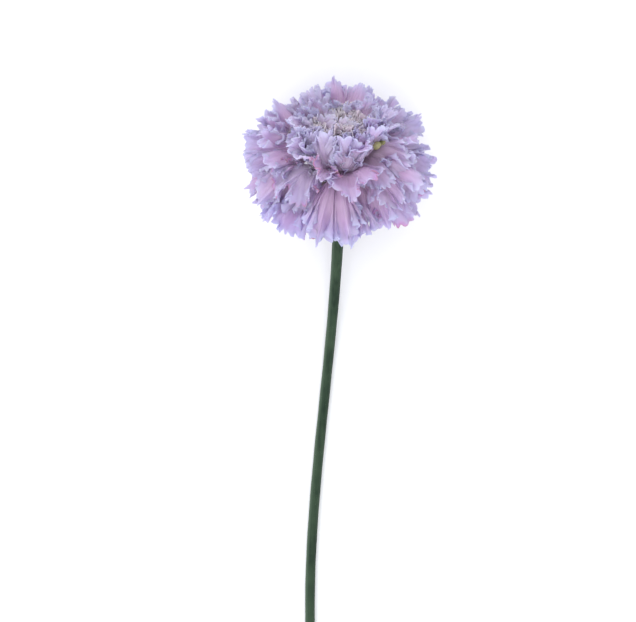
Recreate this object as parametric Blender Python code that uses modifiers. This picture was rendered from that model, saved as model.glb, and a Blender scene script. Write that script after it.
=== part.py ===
"""A cut scabiosa flower lying on a surface: a bent stem, bracts, and a ball of ruffled florets.

Metres, +Z up. The flower lies along Y: its cut end is towards -Y, and its face looks up and towards +Y.
The origin is on the surface, under the middle of the flower's bounding box.
"""

import math
import random
from collections import namedtuple

import bmesh
import bpy
from mathutils import Matrix, Vector

MM = 0.001

# Where the head is and how it is tilted
HEAD_CENTRE = Vector((1.0, 64.8, 27.2)) * MM
HEAD_LIFT = math.radians(35)
SURFACE = 0.0

# Stem
CUT_END_Y = -93 * MM
STEM_RADIUS = 1.6 * MM
STEM_TOP_RADIUS = 1.85 * MM
STEM_SWAY = 9.7 * MM
STEM_SWAY_LENGTH = 140 * MM
STEM_POINTS = 30
STEM_TAPER_POINTS = 12
STEM_TOP_DEPTH = 7.4 * MM
STEM_REST = 0.96
CUT_SLANT = math.radians(35)

# Involucre: the receptacle and its bracts
RECEPTACLE_RADIUS = 6.2 * MM
BRACT_COUNT = 12
BRACT_LENGTH = 17 * MM
BRACT_WIDTH = 3.4 * MM
BRACT_POLAR = math.radians(122)
BRACT_ROOT = 4 * MM
BRACT_KEEL = 0.5 * MM

# Florets, counted from the outermost inwards and set by the golden angle
GOLDEN_ANGLE = math.pi * (3 - math.sqrt(5))
SEED = 1
FIRST_AZIMUTH = math.radians(86)
AZIMUTH_SCATTER = 0.09
POLAR_SCATTER = 0.04
LEAN_SCATTER = 0.07
RAY_COUNT = 38
RAY_OUTER_POLAR = math.radians(92.5)
RAY_INNER_POLAR = math.radians(38)
RAY_ROOT = 11.5 * MM
RAY_OUTER_LENGTH = 24.6 * MM
RAY_INNER_LENGTH = 18.8 * MM
RAY_OUTER_LEAN = math.radians(11)
RAY_INNER_LEAN = math.radians(-5)
RAY_OUTER_CURL = math.radians(40)
RAY_INNER_CURL = math.radians(24)
RAY_OUTER_SPREAD = math.radians(50)
RAY_INNER_SPREAD = math.radians(38)
FINE_RAYS = 8
FINE_GRID = (12, 3)
COARSE_GRID = (8, 2)
RESTING_GRID = (9, 5)
LOBES = 3
LOBE_NOTCH = 0.26
LOBE_ROUNDNESS = 2.5
SIDE_LOBE_LOSS = 0.17
WAVES_ACROSS = 1.1
BLADE_START = 0.06
BLADE_THICKNESS = 0.7 * MM
COURSE_STEPS = 12

# Florets at the front part in two: the upper ones bend over the disc's edge, the lower ones to the stem.
# Those at the sides turn their faces to the front.
FRONT_PARTING_TOP = math.radians(50)
FRONT_PARTING_BOTTOM = math.radians(78)
OVER_DISC_BEND = math.radians(-22)
UNDER_PARTING_BEND = math.radians(84)
OUTERMOST_BEND = math.radians(14)
BEND_START = 0.05
BEND_END = 0.6
SIDE_TURN = math.radians(34)
ROLL_SPREAD = math.radians(17)
SHEET_CURVE = 36 * MM

# Florets that reach the surface fold back along it, each at its own level in blade thicknesses
REST_LEVELS = (0.26, 0.32, 0.38, 0.44)
FOLD_BACK = 0.9

# Disc florets, from the innermost outwards, and the buds in the well between them
DISC_COUNT = 30
DISC_INNER_POLAR = math.radians(14)
DISC_EDGE_POLAR = math.radians(33)
DISC_LOBES = 5
DISC_ROOT = 11 * MM
DISC_ROOT_RADIUS = 0.5 * MM
DISC_INNER_TOP = 18.5 * MM
DISC_EDGE_TOP = 23 * MM
DISC_RADIUS = 3.5 * MM
DISC_INNER_RADIUS = 1.8 * MM
DISC_WELL = 3.4 * MM
WELL_GAP = 0.1 * MM
DISC_WELL_FLOOR = 12 * MM
MOUTH_LOBING = 0.22
MOUTH_LOBE_LIFT = 0.4 * MM
MOUTH_RUFFLE = 0.9 * MM
THROAT_DEPTH = 1.5 * MM

BUD_COUNT = 7
BUD_RADIUS = 1.15 * MM
BUD_STRETCH = 1.5
BUD_RING = 1.75 * MM
BUD_HEIGHT = 15.2 * MM
BUD_PEG_RADIUS = 2.4 * MM
BUD_PEG_TOP = 14 * MM

# The cores that the florets stand out of, and the cone that parts the ray florets from the disc
RAY_CORE_RADIUS = 14.5 * MM
DISC_CORE_RADIUS = 15.5 * MM
CORE_HOLLOW = 7 * MM
PARTING_POLAR = math.radians(35)
BRACT_PARTING_POLAR = math.radians(108)
BRACT_PARTING_RADIUS = 22 * MM
BRACT_PARTING_EASE = 6 * MM
PAST_BRACTS = 0.5
CLEARANCE = 0.3 * MM

HEAD_AXIS = Vector((0, math.cos(HEAD_LIFT), math.sin(HEAD_LIFT)))
HEAD_PLACE = Matrix.Translation(HEAD_CENTRE) @ Matrix.Rotation(HEAD_LIFT - math.pi / 2, 4, "X")

Floret = namedtuple("Floret", "azimuth polar length spread lean curl cup wave phase roll bend")


def clear_scene():
    for obj in list(bpy.data.objects):
        bpy.data.objects.remove(obj, do_unlink=True)


def new_collection(name, hidden=False):
    collection = bpy.data.collections.new(name)
    bpy.context.scene.collection.children.link(collection)
    collection.hide_render = hidden
    return collection


def plain_material(name, colour, roughness):
    material = bpy.data.materials.new(name)
    material.use_nodes = True
    shader = material.node_tree.nodes["Principled BSDF"]
    shader.inputs["Base Color"].default_value = (*colour, 1)
    shader.inputs["Roughness"].default_value = roughness
    shader.inputs["Metallic"].default_value = 0
    return material


def object_from(mesh, name, collection, material=None, place=None):
    obj = bpy.data.objects.new(name, mesh)
    collection.objects.link(obj)
    if material:
        mesh.materials.clear()
        mesh.materials.append(material)
    if place:
        obj.matrix_world = place
    return obj


def evaluated_mesh(obj):
    """The object's mesh with its modifiers applied."""
    bpy.context.view_layer.update()
    graph = bpy.context.evaluated_depsgraph_get()
    return bpy.data.meshes.new_from_object(obj.evaluated_get(graph))


def smoothstep(t):
    t = min(max(t, 0.0), 1.0)
    return t * t * (3 - 2 * t)


def mix(a, b, t):
    return a + (b - a) * t


def polar_point(radius, polar, azimuth):
    """A point in the head's frame: polar is counted from the head's axis."""
    return radius * Vector(
        (math.sin(polar) * math.cos(azimuth), math.sin(polar) * math.sin(azimuth), math.cos(polar))
    )


# Floret places


def bend_of(azimuth, polar):
    """How far a floret at the front bends: over the disc's edge above the parting, to the stem below it."""
    front = max(0.0, -math.sin(azimuth))
    below = smoothstep((polar - FRONT_PARTING_TOP) / (FRONT_PARTING_BOTTOM - FRONT_PARTING_TOP))
    lowest = min(max((polar - FRONT_PARTING_BOTTOM) / (RAY_OUTER_POLAR - FRONT_PARTING_BOTTOM), 0), 1)
    return front * mix(OVER_DISC_BEND, mix(UNDER_PARTING_BEND, OUTERMOST_BEND, lowest), below)


def ray_florets():
    """The ray florets from the outermost inwards, each with its own seeded differences."""
    draw = random.Random(SEED)
    florets = []
    for i in range(RAY_COUNT):
        inward = (i + 0.5) / RAY_COUNT
        height = mix(math.cos(RAY_OUTER_POLAR), math.cos(RAY_INNER_POLAR), inward)
        azimuth = FIRST_AZIMUTH + i * GOLDEN_ANGLE + draw.uniform(-AZIMUTH_SCATTER, AZIMUTH_SCATTER)
        polar = math.acos(height) + draw.uniform(-POLAR_SCATTER, POLAR_SCATTER)
        florets.append(
            Floret(
                azimuth=azimuth,
                polar=polar,
                length=mix(RAY_OUTER_LENGTH, RAY_INNER_LENGTH, inward) * draw.uniform(0.93, 1.06),
                spread=mix(RAY_OUTER_SPREAD, RAY_INNER_SPREAD, inward),
                lean=mix(RAY_OUTER_LEAN, RAY_INNER_LEAN, inward) + draw.uniform(-LEAN_SCATTER, LEAN_SCATTER),
                curl=mix(RAY_OUTER_CURL, RAY_INNER_CURL, inward) * draw.uniform(0.6, 1.4),
                cup=draw.uniform(0.8, 1.8) * MM,
                wave=draw.uniform(1.4, 3.2) * MM,
                phase=draw.uniform(0, 2 * math.pi),
                roll=ROLL_SPREAD * draw.uniform(-1, 1) + SIDE_TURN * math.cos(azimuth),
                bend=bend_of(azimuth, polar),
            )
        )
    return florets


def blade_outline(across):
    """How far the margin lies from the root, as a share of the length, at across from -1 to 1."""
    in_lobe = (across * LOBES + (LOBES + 1)) % 2 - 1
    side = 1 - SIDE_LOBE_LOSS * across * across
    return side * (1 - LOBE_NOTCH * abs(in_lobe) ** LOBE_ROUNDNESS)


def heading_at(floret, distance):
    """The blade's direction at a distance from its root, as an angle from the head's axis."""
    share = distance / floret.length
    bent = smoothstep((share - BEND_START) / (BEND_END - BEND_START))
    return floret.polar + floret.lean + floret.curl * share + floret.bend * bent


def blade_point(floret, across, along):
    """A point of the blade's middle surface in the head's frame: across from -1 to 1, along from 0 to 1."""
    angle = floret.spread * across
    reach = floret.length * along * blade_outline(across)
    side = reach * math.sin(angle)
    forward = reach * math.cos(angle)
    lift = floret.cup * along**2 * math.cos(LOBES * math.pi * across)
    lift += floret.wave * along**2 * math.sin(2 * math.pi * WAVES_ACROSS * across + floret.phase)
    rolled_side = side * math.cos(floret.roll) - lift * math.sin(floret.roll)
    rolled_lift = lift * math.cos(floret.roll) + side * math.sin(floret.roll)
    radial = RAY_ROOT * math.sin(floret.polar)
    height = RAY_ROOT * math.cos(floret.polar)
    stride = forward / COURSE_STEPS
    for step in range(COURSE_STEPS):
        heading = heading_at(floret, (step + 0.5) * stride)
        radial += stride * math.sin(heading)
        height += stride * math.cos(heading)
    heading = heading_at(floret, forward)
    radial -= rolled_lift * math.cos(heading)
    height += rolled_lift * math.sin(heading)
    sideways = SHEET_CURVE * math.sin(rolled_side / SHEET_CURVE)
    radial -= SHEET_CURVE * (1 - math.cos(rolled_side / SHEET_CURVE))
    out = Vector((math.cos(floret.azimuth), math.sin(floret.azimuth), 0))
    beside = Vector((-out.y, out.x, 0))
    return radial * out + sideways * beside + Vector((0, 0, height))


def between_partings(point):
    """The point bent clear of the disc florets inside the ray florets, and of the bracts behind them."""
    radius = point.length
    polar = point.angle(Vector((0, 0, 1)))
    azimuth = math.atan2(point.y, point.x)
    margin = (BLADE_THICKNESS / 2 + CLEARANCE) / radius
    past_bracts = smoothstep((radius - BRACT_PARTING_RADIUS) / BRACT_PARTING_EASE)
    lowest = PARTING_POLAR + margin
    highest = BRACT_PARTING_POLAR - margin + PAST_BRACTS * past_bracts
    return polar_point(radius, min(max(polar, lowest), highest), azimuth)


def reaches_surface(floret):
    tips = [HEAD_PLACE @ blade_point(floret, across / 6, 1) for across in range(-6, 7)]
    return min(tip.z for tip in tips) < SURFACE


def laid_on_surface(point, level):
    """The head-frame point, folded back along the surface at level above it if it would lie lower."""
    world = HEAD_PLACE @ point
    sunk = SURFACE + level - world.z
    if sunk > 0:
        world.z += sunk
        world.y -= FOLD_BACK * sunk
    return HEAD_PLACE.inverted() @ world


# Pieces


def thickened(blade, name, collection):
    """A solid sheet round a bmesh surface, which is split into triangles and used up."""
    mesh = bpy.data.meshes.new(name)
    bmesh.ops.triangulate(blade, faces=blade.faces)
    blade.to_mesh(mesh)
    blade.free()
    obj = object_from(mesh, name + "_surface", collection)
    thickness = obj.modifiers.new("thickness", "SOLIDIFY")
    thickness.thickness = BLADE_THICKNESS
    thickness.offset = 0
    object_from(evaluated_mesh(obj), name, collection, place=HEAD_PLACE)
    bpy.data.objects.remove(obj)


def ray_blade(floret, index, columns, rows, collection):
    """One ray floret: a fan with three notched lobes, waved, bent back and given its thickness."""
    blade = bmesh.new()
    bmesh.ops.create_grid(blade, x_segments=columns, y_segments=rows, size=1)
    rest_level = BLADE_THICKNESS * REST_LEVELS[index % len(REST_LEVELS)]
    for vertex in blade.verts:
        along = mix(BLADE_START, 1, (vertex.co.y + 1) / 2)
        point = between_partings(blade_point(floret, vertex.co.x, along))
        vertex.co = laid_on_surface(point, rest_level)
    thickened(blade, f"ray_{index}", collection)


def turned(profile, name, collection, steps):
    """A solid of revolution about the head's axis, from (radius, height) points run from top to bottom."""
    mesh = bpy.data.meshes.new(name)
    outline = [(radius, 0, height) for radius, height in profile]
    mesh.from_pydata(outline, [(i, i + 1) for i in range(len(outline) - 1)], [])
    obj = object_from(mesh, name + "_profile", collection)
    screw = obj.modifiers.new("turn", "SCREW")
    screw.steps = steps
    screw.render_steps = steps
    screw.use_merge_vertices = True
    screw.merge_threshold = 0.01 * MM
    mesh = evaluated_mesh(obj)
    bpy.data.objects.remove(obj)
    seam = bmesh.new()
    seam.from_mesh(mesh)
    bmesh.ops.remove_doubles(seam, verts=seam.verts, dist=0.01 * MM)
    bmesh.ops.recalc_face_normals(seam, faces=seam.faces)
    seam.to_mesh(mesh)
    seam.free()
    return object_from(mesh, name, collection, place=HEAD_PLACE)


def arc(radius, first, last, count):
    """(radius, height) points on a circle round the head's centre, from polar angle first to last."""
    angles = [mix(first, last, i / (count - 1)) for i in range(count)]
    return [(radius * math.sin(a), radius * math.cos(a)) for a in angles]


def shells(mesh):
    """The mesh's connected groups of faces, as lists."""
    unseen = set(mesh.faces)
    groups = []
    while unseen:
        group = [unseen.pop()]
        for face in group:
            for edge in face.edges:
                fresh = [other for other in edge.link_faces if other in unseen]
                unseen.difference_update(fresh)
                group.extend(fresh)
        groups.append(group)
    return groups


def keep_main_shell(mesh):
    """Fill the hollows sealed in by the union and drop its loose scraps: only the largest shell stays."""
    solid = bmesh.new()
    solid.from_mesh(mesh)
    groups = sorted(shells(solid), key=len)
    spare = [face for group in groups[:-1] for face in group]
    bmesh.ops.delete(solid, geom=spare, context="FACES")
    solid.to_mesh(mesh)
    solid.free()


def union(base, pieces, name, material, collection):
    """One body of base and pieces, trimmed flat where it lies on the surface."""
    join = base.modifiers.new("join", "BOOLEAN")
    join.operand_type = "COLLECTION"
    join.collection = pieces
    join.operation = "UNION"
    join.solver = "MANIFOLD"
    trim = base.modifiers.new("trim", "BOOLEAN")
    trim.object = bpy.data.objects["under_surface"]
    trim.operation = "DIFFERENCE"
    trim.solver = "MANIFOLD"
    mesh = evaluated_mesh(base)
    bpy.data.objects.remove(base)
    for piece in list(pieces.objects):
        bpy.data.objects.remove(piece)
    keep_main_shell(mesh)
    obj = object_from(mesh, name, collection, material, HEAD_PLACE)
    mesh.shade_smooth()
    mesh.set_sharp_from_angle(angle=math.radians(35))
    return obj


def make_ray_florets(collection, cutters, material):
    """The ray florets, standing out of a thick ring round the receptacle."""
    inner = PARTING_POLAR + CLEARANCE / RAY_CORE_RADIUS
    outer = BRACT_PARTING_POLAR - CLEARANCE / RECEPTACLE_RADIUS
    profile = arc(RAY_CORE_RADIUS, inner, outer, 7) + arc(CORE_HOLLOW, outer, inner, 5)
    core = turned(profile + profile[:1], "ray_core", cutters, 24)
    blades = new_collection("ray_blades", hidden=True)
    for index, floret in enumerate(ray_florets()):
        columns, rows = FINE_GRID if index < FINE_RAYS else COARSE_GRID
        if reaches_surface(floret):
            columns, rows = RESTING_GRID
        ray_blade(floret, index, columns, rows, blades)
    return union(core, blades, "ray_florets", material, collection)


def trumpet(radius, polar, azimuth, top, phase, index, collection):
    """One disc floret: a solid trumpet with a ruffled five-lobed mouth, its root sunk in the core."""
    mesh = bpy.data.meshes.new(f"disc_{index}")
    mouth = bmesh.new()
    sides = DISC_LOBES * 2
    bmesh.ops.create_cone(
        mouth,
        cap_ends=True,
        cap_tris=True,
        segments=sides,
        radius1=DISC_ROOT_RADIUS,
        radius2=radius,
        depth=top,
    )
    for vertex in mouth.verts:
        if vertex.co.z < 0:
            vertex.co.z = DISC_ROOT
            continue
        centre = vertex.co.xy.length < 0.1 * MM
        turn = math.atan2(vertex.co.y, vertex.co.x)
        lobe = 0 if centre else math.cos(DISC_LOBES * turn)
        vertex.co.xy *= 1 + MOUTH_LOBING * lobe
        ruffle = MOUTH_RUFFLE * math.sin(2 * turn + phase)
        vertex.co.z = top - (THROAT_DEPTH if centre else ruffle - MOUTH_LOBE_LIFT * lobe)
    place = Matrix.Rotation(azimuth, 4, "Z") @ Matrix.Rotation(polar, 4, "Y")
    for vertex in mouth.verts:
        point = place @ vertex.co
        lowest = (DISC_WELL + WELL_GAP) / point.length
        highest = PARTING_POLAR - CLEARANCE / point.length
        angle = min(max(point.angle(Vector((0, 0, 1))), lowest), highest)
        vertex.co = polar_point(point.length, angle, math.atan2(point.y, point.x))
    bmesh.ops.triangulate(mouth, faces=mouth.faces)
    mouth.to_mesh(mesh)
    mouth.free()
    return object_from(mesh, mesh.name, collection, place=HEAD_PLACE)


def make_disc_florets(collection, cutters, material):
    """The disc: small trumpets on a domed core inside the ring of ray florets, round a well for the buds."""
    edge = PARTING_POLAR - CLEARANCE / RECEPTACLE_RADIUS
    well_polar = math.asin(DISC_WELL / DISC_CORE_RADIUS)
    rim = arc(DISC_CORE_RADIUS, well_polar, edge, 3)
    profile = [(0, DISC_WELL_FLOOR), (DISC_WELL, DISC_WELL_FLOOR)] + rim + arc(CORE_HOLLOW, edge, 0, 4)
    core = turned(profile, "disc_core", cutters, 20)
    trumpets = new_collection("disc_trumpets", hidden=True)
    draw = random.Random(SEED + 1)
    for index in range(DISC_COUNT):
        outward = (index + 0.5) / DISC_COUNT
        polar = math.acos(mix(math.cos(DISC_INNER_POLAR), math.cos(DISC_EDGE_POLAR), outward))
        top = mix(DISC_INNER_TOP, DISC_EDGE_TOP, smoothstep(outward)) + draw.uniform(-0.7, 0.7) * MM
        radius = mix(DISC_INNER_RADIUS, DISC_RADIUS, outward) * draw.uniform(0.9, 1.1)
        phase = draw.uniform(0, 2 * math.pi)
        trumpet(radius, polar, index * GOLDEN_ANGLE, top, phase, index, trumpets)
    return union(core, trumpets, "disc_florets", material, collection)


def make_buds(collection, cutters, material):
    """The unopened buds in the middle of the disc: small knobs on one short peg."""
    foot = DISC_WELL_FLOOR + CLEARANCE
    peg = [(0, BUD_PEG_TOP), (BUD_PEG_RADIUS, BUD_PEG_TOP), (BUD_PEG_RADIUS, foot), (0, foot)]
    core = turned(peg, "bud_core", cutters, 12)
    knobs = new_collection("bud_knobs", hidden=True)
    for index in range(BUD_COUNT):
        off_axis = 0 if index == 0 else BUD_RING
        azimuth = index * 2 * math.pi / (BUD_COUNT - 1)
        mesh = bpy.data.meshes.new(f"bud_{index}")
        knob = bmesh.new()
        bmesh.ops.create_uvsphere(knob, u_segments=8, v_segments=5, radius=BUD_RADIUS)
        stretch = Matrix.Diagonal((1, 1, BUD_STRETCH))
        centre = Vector((off_axis * math.cos(azimuth), off_axis * math.sin(azimuth), BUD_HEIGHT))
        for vertex in knob.verts:
            vertex.co = stretch @ vertex.co + centre
        knob.to_mesh(mesh)
        knob.free()
        object_from(mesh, mesh.name, knobs, place=HEAD_PLACE)
    return union(core, knobs, "buds", material, collection)


def bract(index, collection):
    """One bract: a narrow pointed leaf, keeled and bent back, its root sunk in the receptacle."""
    blade = bmesh.new()
    bmesh.ops.create_grid(blade, x_segments=2, y_segments=6, size=1)
    azimuth = index * 2 * math.pi / BRACT_COUNT
    length = BRACT_LENGTH * (1 if index % 2 else 0.86)
    for vertex in blade.verts:
        along = (vertex.co.y + 1) / 2
        belly = 0.5 + 0.5 * math.sin(math.pi * min(along * 1.15, 1))
        width = BRACT_WIDTH * belly * (1 - 0.8 * along**3)
        side = vertex.co.x * width / 2
        keel = BRACT_KEEL * abs(vertex.co.x)
        radius = BRACT_ROOT + length * along
        polar = BRACT_POLAR - 0.1 * math.sin(math.pi * along) - keel / radius
        vertex.co = polar_point(radius, polar, azimuth + side / radius)
    thickened(blade, f"bract_{index}", collection)


def make_involucre(collection, cutters, material):
    """The receptacle, a dome with a tapered foot, and the whorl of bracts round its foot."""
    foot = -(STEM_TOP_DEPTH - CLEARANCE)
    dome = arc(RECEPTACLE_RADIUS, 0, math.radians(110), 7)
    profile = dome + [(3.4 * MM, -5.4 * MM), (2.0 * MM, foot), (0, foot)]
    core = turned(profile, "receptacle", cutters, 20)
    bracts = new_collection("bracts", hidden=True)
    for index in range(BRACT_COUNT):
        bract(index, bracts)
    return union(core, bracts, "involucre", material, collection)


def stem_course():
    """Points down the stem's middle: out of the head along its axis, down to the surface, then along it."""
    top = HEAD_CENTRE - HEAD_AXIS * STEM_TOP_DEPTH
    rest = STEM_RADIUS * STEM_REST
    run = 2 * (top.z - rest) / math.tan(HEAD_LIFT)
    points = []
    for i in range(STEM_POINTS):
        y = mix(top.y, CUT_END_Y - 2 * MM, i / (STEM_POINTS - 1))
        drop = min((top.y - y) / run, 1)
        z = rest + (top.z - rest) * (1 - drop) ** 2
        x = top.x - STEM_SWAY * smoothstep((top.y - y) / STEM_SWAY_LENGTH)
        points.append(Vector((x, y, z)))
    return points


def make_stem(collection, material):
    """The stem: a tapered tube along its course, cut at a slant, and flat where it lies on the surface."""
    course = stem_course()
    curve = bpy.data.curves.new("stem_course", "CURVE")
    curve.dimensions = "3D"
    curve.bevel_depth = STEM_RADIUS
    curve.bevel_resolution = 4
    curve.use_fill_caps = True
    spline = curve.splines.new("POLY")
    spline.points.add(len(course) - 1)
    for i, (point, place) in enumerate(zip(spline.points, course)):
        point.co = (*place, 1)
        point.radius = mix(STEM_TOP_RADIUS / STEM_RADIUS, 1, smoothstep(i / STEM_TAPER_POINTS))
    obj = bpy.data.objects.new("stem_curve", curve)
    collection.objects.link(obj)
    mesh = evaluated_mesh(obj)
    bpy.data.objects.remove(obj)
    tube = bmesh.new()
    tube.from_mesh(mesh)
    bmesh.ops.remove_doubles(tube, verts=tube.verts, dist=0.001 * MM)
    cut_normal = Vector((0, -math.cos(CUT_SLANT), -math.sin(CUT_SLANT)))
    cut_place = Vector((0, CUT_END_Y, 0))
    for place, normal in ((cut_place, cut_normal), (Vector((0, 0, SURFACE)), Vector((0, 0, -1)))):
        everything = tube.verts[:] + tube.edges[:] + tube.faces[:]
        bmesh.ops.bisect_plane(tube, geom=everything, plane_co=place, plane_no=normal, clear_outer=True)
        rim = [edge for edge in tube.edges if edge.is_boundary]
        bmesh.ops.edgeloop_fill(tube, edges=rim)
    bmesh.ops.recalc_face_normals(tube, faces=tube.faces)
    tube.to_mesh(mesh)
    tube.free()
    mesh.shade_smooth()
    mesh.set_sharp_from_angle(angle=math.radians(40))
    return object_from(mesh, "stem", collection, material)


def under_surface(cutters):
    """The space under the surface, which trims what would reach into it."""
    bpy.ops.mesh.primitive_cube_add(size=1, location=(0, 0, SURFACE - 25 * MM))
    box = bpy.context.object
    box.name = "under_surface"
    box.scale = (150 * MM, 300 * MM, 50 * MM)
    for collection in list(box.users_collection):
        collection.objects.unlink(box)
    cutters.objects.link(box)
    box.hide_render = True
    box.display_type = "WIRE"


def main():
    clear_scene()
    flower = new_collection("scabiosa_flower")
    cutters = new_collection("cutters", hidden=True)
    under_surface(cutters)
    lilac = plain_material("lilac_petal", (0.64, 0.50, 0.76), 0.6)
    cream = plain_material("cream_petal", (0.72, 0.62, 0.66), 0.6)
    green = plain_material("stem_green", (0.09, 0.17, 0.06), 0.55)
    dark_green = plain_material("bract_green", (0.05, 0.09, 0.04), 0.6)
    bud_green = plain_material("bud_green", (0.42, 0.36, 0.16), 0.6)
    head = bpy.data.objects.new("head_axis", None)
    flower.objects.link(head)
    head.matrix_world = HEAD_PLACE
    bpy.context.view_layer.update()
    make_stem(flower, green)
    on_head = [
        make_involucre(flower, cutters, dark_green),
        make_ray_florets(flower, cutters, lilac),
        make_disc_florets(flower, cutters, cream),
        make_buds(flower, cutters, bud_green),
    ]
    for obj in on_head:
        obj.parent = head
        obj.matrix_local = Matrix.Identity(4)


main()
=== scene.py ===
import math
import random
from collections import namedtuple

import bpy
import numpy as np
from mathutils import Matrix, Vector


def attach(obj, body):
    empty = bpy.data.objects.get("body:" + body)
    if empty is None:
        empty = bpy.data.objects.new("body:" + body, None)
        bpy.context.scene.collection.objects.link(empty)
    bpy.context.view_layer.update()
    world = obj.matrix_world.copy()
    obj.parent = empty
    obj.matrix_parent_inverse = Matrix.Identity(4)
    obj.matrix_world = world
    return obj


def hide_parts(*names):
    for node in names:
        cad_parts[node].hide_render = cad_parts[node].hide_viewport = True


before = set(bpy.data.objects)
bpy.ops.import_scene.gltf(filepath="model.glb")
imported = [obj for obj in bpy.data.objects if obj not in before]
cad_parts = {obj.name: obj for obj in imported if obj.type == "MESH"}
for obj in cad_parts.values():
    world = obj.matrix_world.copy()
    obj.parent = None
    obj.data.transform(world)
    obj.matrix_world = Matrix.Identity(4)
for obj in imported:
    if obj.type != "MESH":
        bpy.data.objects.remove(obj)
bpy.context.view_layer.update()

# A cut scabiosa flower on a pale surface: ruffled ray florets, a crinkled disc, bracts and a hairy stem.
# Metres, +Z up. The head has a frame of its own: its centre is the origin and its axis is +Z.
# Polar angles are counted from that axis, and azimuth -90 degrees faces the camera's lower edge.

MM = 0.001
DEGREE = math.pi / 180

# Where the head is and how it is tilted
HEAD_CENTRE = Vector((1.0, 64.8, 27.2)) * MM
HEAD_LIFT = 35 * DEGREE
HEAD_AXIS = Vector((0, math.cos(HEAD_LIFT), math.sin(HEAD_LIFT)))
HEAD_PLACE = Matrix.Translation(HEAD_CENTRE) @ Matrix.Rotation(HEAD_LIFT - math.pi / 2, 4, "X")
GOLDEN_ANGLE = math.pi * (3 - math.sqrt(5))

# Camera: straight down on the flower
CAMERA_PLACE = (-0.006, 0.0179, 1.2272)
CAMERA_HEIGHT_OVER_HEAD = 1.2
VIEW_WIDTH = 0.2088
SENSOR_WIDTH = 36

# Ray florets, counted from the outermost inwards and set by the golden angle
SEED = 1
FIRST_AZIMUTH = 86 * DEGREE
RAY_COUNT = 38
RAY_OUTER_POLAR = 92.5 * DEGREE
RAY_INNER_POLAR = 38 * DEGREE
RAY_ROOT = 11.5 * MM
RAY_OUTER_LENGTH = 24.6 * MM
RAY_INNER_LENGTH = 18.2 * MM
RAY_OUTER_LEAN = 11 * DEGREE
RAY_INNER_LEAN = -5 * DEGREE
RAY_OUTER_CURL = 40 * DEGREE
RAY_INNER_CURL = 24 * DEGREE
RAY_OUTER_SPREAD = 50 * DEGREE
RAY_INNER_SPREAD = 44 * DEGREE
OUTER_RAYS = 20

# Limits of each floret's own differences: cups and waves are in millimetres
AZIMUTH_SCATTER = 0.09
POLAR_SCATTER = 0.04
LEAN_SCATTER = 0.07
LENGTH_RANGE = (0.93, 1.06)
CURL_RANGE = (0.6, 1.4)
CUP_RANGE = (0.8, 1.8)
WAVE_RANGE = (1.4, 3.2)

# Outline of a petal
LOBES = 3
LOBE_NOTCH = 0.13
LOBE_ROUNDNESS = 3.0
CORNER_LOSS = 0.55
SIDE_LOBE_LOSS = 0.17
WAVES_ACROSS = 1.1
CORNER_START = 0.72
SLITS_WITHIN = 0.8
MARGIN_POINTS = 900
BLADE_START = 0.06

# Florets at the front part in two: the upper ones bend over the disc's edge, the lower ones to the stem.
# Those at the sides turn their faces to the front.
PARTING_TOP = 50 * DEGREE
PARTING_BOTTOM = 78 * DEGREE
OVER_DISC_BEND = -22 * DEGREE
UNDER_PARTING_BEND = 84 * DEGREE
OUTERMOST_BEND = 14 * DEGREE
BEND_START = 0.05
BEND_END = 0.6
SIDE_TURN = 34 * DEGREE
ROLL_SPREAD = 17 * DEGREE
SHEET_CURVE = 36 * MM

# Smaller florets between the ray florets and the disc
INNER_COUNT = 15
INNER_POLAR = 36 * DEGREE
INNER_LENGTH = 15.5 * MM
INNER_SPREAD = 42 * DEGREE
INNER_LEAN = -8 * DEGREE
INNER_FRONT_SHARE = 0.75
INNER_BACK_SHARE = 0.72
INNER_STEP_SCATTER = 0.2
INNER_POLAR_SCATTER = 0.05
INNER_LEAN_SCATTER = 0.12
INNER_LENGTH_RANGE = (0.85, 1.1)
INNER_CURL_RANGE = (0.2, 1.6)
INNER_CUP_RANGE = (0.6, 1.4)
INNER_WAVE_RANGE = (0.8, 1.8)
INNER_BEND_RANGE = (0.3, 1.0)

# Fans over the disc's near edge: azimuth, polar angle, length, spread, lean, curl, roll and bend
FRONT_FANS = (
    (-117, 54, 18.5, 46, 10, 8, -12, -74),
    (-94, 58, 21.0, 48, 10, 6, -2, -82),
    (-70, 54, 18.0, 44, 10, 8, 14, -74),
    (-42, 50, 20.0, 52, -2, 24, 34, 50),
    (-136, 52, 17.0, 40, 6, 12, -24, -50),
)
FAN_CUP_RANGE = (0.2, 0.5)
FAN_WAVE_RANGE = (0.6, 1.2)

# Florets with a length of their own: each one's number, and its share of the rule's length and spread
ODD_FLORETS = {1: (0.88, 1.0), 4: (0.9, 0.78), 17: (1.3, 0.66)}

# Florets with magenta and brown stains at the edge, by number
BLUSHED = (7, 9, 22, 25, 30)

# The two small lobes of each floret, which lean the other way, towards the middle of the head.
# Those at the front are longer, down to the polar angle where this ends.
LIP_LENGTH = 9 * MM
FRONT_LIP_LENGTH = 14 * MM
LIP_SPREAD = 60 * DEGREE
LIP_LEAN = -34 * DEGREE
FRONT_LIP_LEAN = -45 * DEGREE
LIP_LEAN_RANGE = (0.6, 1.2)
LIP_LENGTH_RANGE = (0.8, 1.15)
LIP_CURL_RANGE = (-40, 10)
LIP_CUP_RANGE = (0.2, 0.8)
LIP_WAVE_RANGE = (0.3, 0.9)
LIP_ROLL_SHARE = 0.5
FRONT_LIP_END = 1.5
FRONT_LIP_BAND = 0.6

# How pale each kind of petal is, from 0 to 1
OUTERMOST_PALENESS = 0.06
INWARD_PALENESS = 0.22
INNER_PALENESS = 0.22
LIP_PALENESS = 0.45
FRILL_PALENESS = 0.05
TRUMPET_PALENESS = (0.1, 0.4)
PALENESS_SCATTER = 0.14

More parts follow.
